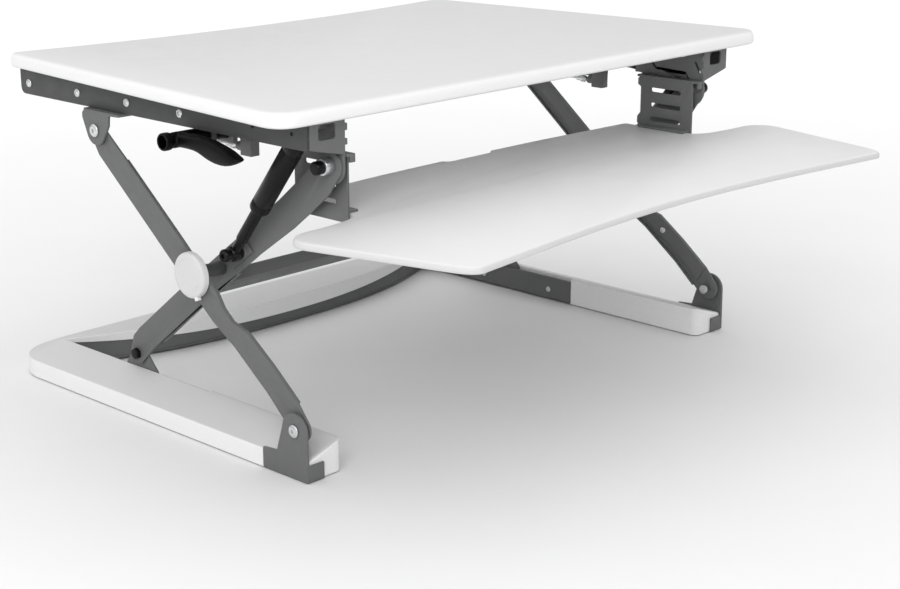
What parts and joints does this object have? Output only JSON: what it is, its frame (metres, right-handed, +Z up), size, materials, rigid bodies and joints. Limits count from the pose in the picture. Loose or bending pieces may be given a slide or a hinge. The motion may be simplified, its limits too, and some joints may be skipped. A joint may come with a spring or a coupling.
{
  "type": "sit-stand desk converter",
  "caption": "White desktop riser with a lower keyboard tray, carried on a grey steel scissor lift with gas springs over an open U-shaped base.",
  "frame": {"origin": "on the table, under the middle of the converter's bounding box", "axes": "+X to the user's right, +Y away from the user, +Z up"},
  "size_m": [0.8884, 0.8334, 0.427],
  "materials": {
    "board_white": "white laminate with a fine matte texture",
    "tray_white": "white, fine matte texture",
    "cover_white": "white moulded plastic, fine texture",
    "grey_steel": "grey powder coat, matte",
    "dark_grey_steel": "dark grey powder coat, matte",
    "bright_steel": "zinc plated, bright",
    "black_steel": "black paint, satin",
    "black_plastic": "black moulded plastic, satin",
    "grey_plastic": "grey moulded plastic",
    "black_rubber": "matte"
  },
  "bodies": {
    "base": {"base_cover": "cover_white", "base_frame": "grey_steel", "front_bracket_right": "grey_steel", "front_bracket_left": "grey_steel", "lower_track_right": "bright_steel", "lower_track_left": "bright_steel", "front_pivot_bolt_right": "bright_steel", "front_pivot_bolt_left": "bright_steel", "rubber_foot_front_right": "black_rubber", "rubber_foot_front_left": "black_rubber", "rubber_foot_rear_right": "black_rubber", "rubber_foot_rear_left": "black_rubber"},
    "outer_arms": {"outer_arm_right": "grey_steel", "outer_arm_left": "grey_steel", "centre_pin_right": "dark_grey_steel", "centre_pin_left": "dark_grey_steel", "centre_cap_right": "cover_white", "centre_cap_left": "cover_white"},
    "inner_arms": {"inner_arm_right": "grey_steel", "inner_arm_left": "grey_steel", "cross_bar": "grey_steel", "spring_lug_right": "grey_steel", "spring_lug_left": "grey_steel"},
    "desktop": {"desktop_board": "board_white", "side_rail_right": "dark_grey_steel", "side_rail_left": "dark_grey_steel", "upper_slide_right": "bright_steel", "upper_slide_left": "bright_steel", "top_bracket_right": "grey_steel", "top_bracket_left": "grey_steel", "top_pivot_bolt_right": "bright_steel", "top_pivot_bolt_left": "bright_steel", "top_pivot_nut_right": "black_steel", "top_pivot_nut_left": "black_steel", "tray_hanger_right": "grey_steel", "tray_hanger_left": "grey_steel", "keyboard_tray": "tray_white", "lever_bracket_right": "grey_plastic", "lever_bracket_left": "grey_plastic", "cable_block_right": "grey_plastic", "cable_block_left": "grey_plastic", "release_cable_right": "bright_steel", "release_cable_left": "bright_steel", "spring_top_pin_right": "bright_steel", "spring_top_pin_left": "bright_steel"},
    "upper_carriages": {"upper_carriage_right": "grey_steel", "upper_carriage_left": "grey_steel", "rear_pivot_screw_right": "bright_steel", "rear_pivot_screw_left": "bright_steel"},
    "lower_carriages": {"lower_carriage_right": "grey_steel", "lower_carriage_left": "grey_steel", "lower_pivot_bolt_right": "black_steel", "lower_pivot_bolt_left": "black_steel"},
    "gas_cylinders": {"spring_cylinder_right": "black_steel", "spring_cylinder_left": "black_steel"},
    "gas_rods": {"spring_rod_right": "black_steel", "spring_rod_left": "black_steel"},
    "left_release_lever": {"release_lever_left": "black_plastic"},
    "right_release_lever": {"release_lever_right": "black_plastic"}
  },
  "joints": [
    {"name": "lift", "type": "hinge", "parent": "base", "child": "outer_arms", "pos_m": [0, -0.15179, 0.0587], "axis": [1, 0, 0], "range_deg": [-36.8, 12.5]},
    {"name": "scissor_fold", "type": "hinge", "parent": "outer_arms", "child": "inner_arms", "pos_m": [0, 0.02471, 0.20539], "axis": [1, 0, 0], "range_deg": [-25, 73.6]},
    {"name": "desktop_level", "type": "hinge", "parent": "inner_arms", "child": "desktop", "pos_m": [0, -0.15179, 0.35208], "axis": [1, 0, 0], "range_deg": [-36.8, 12.5]},
    {"name": "upper_carriage_level", "type": "hinge", "parent": "outer_arms", "child": "upper_carriages", "pos_m": [0, 0.20121, 0.35208], "axis": [1, 0, 0], "range_deg": [-12.5, 36.8]},
    {"name": "lower_carriage_level", "type": "hinge", "parent": "inner_arms", "child": "lower_carriages", "pos_m": [0, 0.20121, 0.0587], "axis": [1, 0, 0], "range_deg": [-36.8, 12.5]},
    {"name": "gas_spring_tilt", "type": "hinge", "parent": "desktop", "child": "gas_cylinders", "pos_m": [0, -0.14329, 0.396], "axis": [1, 0, 0], "range_deg": [-11.38, 33.49]},
    {"name": "gas_spring_stroke", "type": "slide", "parent": "gas_cylinders", "child": "gas_rods", "axis": [0, 0.6155, -0.7882], "range_m": [-0.02569, 0.00873]},
    {"name": "left_lever_squeeze", "type": "hinge", "parent": "desktop", "child": "left_release_lever", "pos_m": [-0.375, 0.03071, 0.3655], "axis": [-1, 0, 0], "range_deg": [0, 15]},
    {"name": "right_lever_squeeze", "type": "hinge", "parent": "desktop", "child": "right_release_lever", "pos_m": [0.375, 0.03071, 0.3655], "axis": [-1, 0, 0], "range_deg": [0, 15]}
  ],
  "couplings": [
    {"joint": "scissor_fold", "follows": "lift", "ratio": -2},
    {"joint": "desktop_level", "follows": "lift", "ratio": 1},
    {"joint": "upper_carriage_level", "follows": "lift", "ratio": -1},
    {"joint": "lower_carriage_level", "follows": "lift", "ratio": 1},
    {"joint": "gas_spring_tilt", "follows": "lift", "ratio": -0.91},
    {"joint": "gas_spring_stroke", "follows": "lift", "m_per_rad": 0.04}
  ]
}
